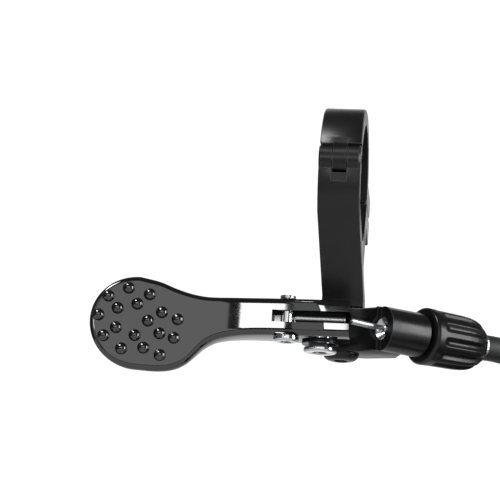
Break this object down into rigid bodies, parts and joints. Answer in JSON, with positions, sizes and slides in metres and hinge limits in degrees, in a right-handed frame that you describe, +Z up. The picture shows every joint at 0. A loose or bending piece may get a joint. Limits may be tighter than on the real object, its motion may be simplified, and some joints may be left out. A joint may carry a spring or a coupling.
{
  "type": "thumb shifter",
  "caption": "Single-lever cable remote for the thumb: hinged handlebar clamp, studded round paddle on a bearing pivot, barrel adjuster and coiled cable housing.",
  "frame": {"origin": "middle of the clamp's handlebar bore, halfway across its width", "axes": "+X along the handlebar towards the stem, +Y away from the rider, +Z up"},
  "size_m": [0.0957, 0.0649, 0.1473],
  "materials": {
    "anodised": "satin black anodised",
    "gloss_black": "high gloss black",
    "steel": "polished",
    "black_steel": "semi-gloss black oxide",
    "bearing_steel": "ground",
    "chrome": "mirror",
    "wire": "stranded, bright",
    "bare_aluminium": "turned, bare",
    "housing": "matt, finely ribbed",
    "tie": "satin"
  },
  "bodies": {
    "clamp": {"clamp_body": "anodised", "hinge_pin": "steel", "mount_screw": "black_steel", "base_block": "anodised", "bearing_lower": "bearing_steel", "bearing_upper": "bearing_steel"},
    "cap": {"clamp_cap": "anodised"},
    "bolt": {"clamp_bolt": "black_steel", "clamp_bolt_washer": "steel"},
    "lever": {"thumb_lever": "gloss_black", "pivot_bolt": "chrome", "pivot_nut": "black_steel", "thrust_washer": "black_steel", "shim_lower": "steel", "shim_upper": "steel", "pinch_screw": "chrome", "pinch_nut": "steel", "pinch_sleeve": "chrome", "wire_in_slot": "wire"},
    "span": {"wire_span": "wire"},
    "core": {"wire_core": "wire"},
    "cable_end": {"housing_ferrule": "bare_aluminium", "cable_housing": "housing", "housing_coil": "housing", "coil_tie_front": "tie", "coil_tie_rear": "tie", "housing_tail": "housing", "end_ferrule": "bare_aluminium", "wire_tail": "wire", "wire_nipple": "steel"},
    "adjuster": {"adjuster_barrel": "black_steel", "adjuster_knob": "anodised"}
  },
  "joints": [
    {"name": "cap_hinge", "type": "hinge", "parent": "clamp", "child": "cap", "pos_m": [0, -0.01233, 0.0013], "axis": [1, 0, 0], "range_deg": [0, 75]},
    {"name": "bolt_draw", "type": "slide", "parent": "cap", "child": "bolt", "axis": [0, 0.1045, 0.9945], "range_m": [0, 0.009]},
    {"name": "lever_pivot", "type": "hinge", "parent": "clamp", "child": "lever", "pos_m": [-0.00245, -0.0045, -0.0286], "axis": [0, 0, -1], "range_deg": [0, 50], "stiffness_Nm_per_rad": 0.15, "springref_deg": -8.59},
    {"name": "wire_swing", "type": "hinge", "parent": "lever", "child": "span", "pos_m": [0.003, -0.0094, -0.0286], "axis": [0, 0, 1], "range_deg": [0, 40.1]},
    {"name": "wire_draw", "type": "slide", "parent": "clamp", "child": "core", "axis": [-0.7738, -0.6334, 0], "range_m": [0, 0.00595]},
    {"name": "adjuster_travel", "type": "slide", "parent": "clamp", "child": "cable_end", "axis": [0.7738, 0.6334, 0], "range_m": [0, 0.004]},
    {"name": "adjuster_turn", "type": "hinge", "parent": "cable_end", "child": "adjuster", "pos_m": [0.0088, -0.0029, -0.0286], "axis": [0.7738, 0.6334, 0], "range_deg": [0, 1801]}
  ],
  "couplings": [
    {"joint": "cap_hinge", "follows": "bolt_draw", "rad_per_m": 145.44},
    {"joint": "wire_swing", "follows": "lever_pivot", "ratio": 0.7911},
    {"joint": "wire_draw", "follows": "lever_pivot", "m_per_rad": 0.006699},
    {"joint": "adjuster_turn", "follows": "adjuster_travel", "rad_per_m": 7854}
  ]
}
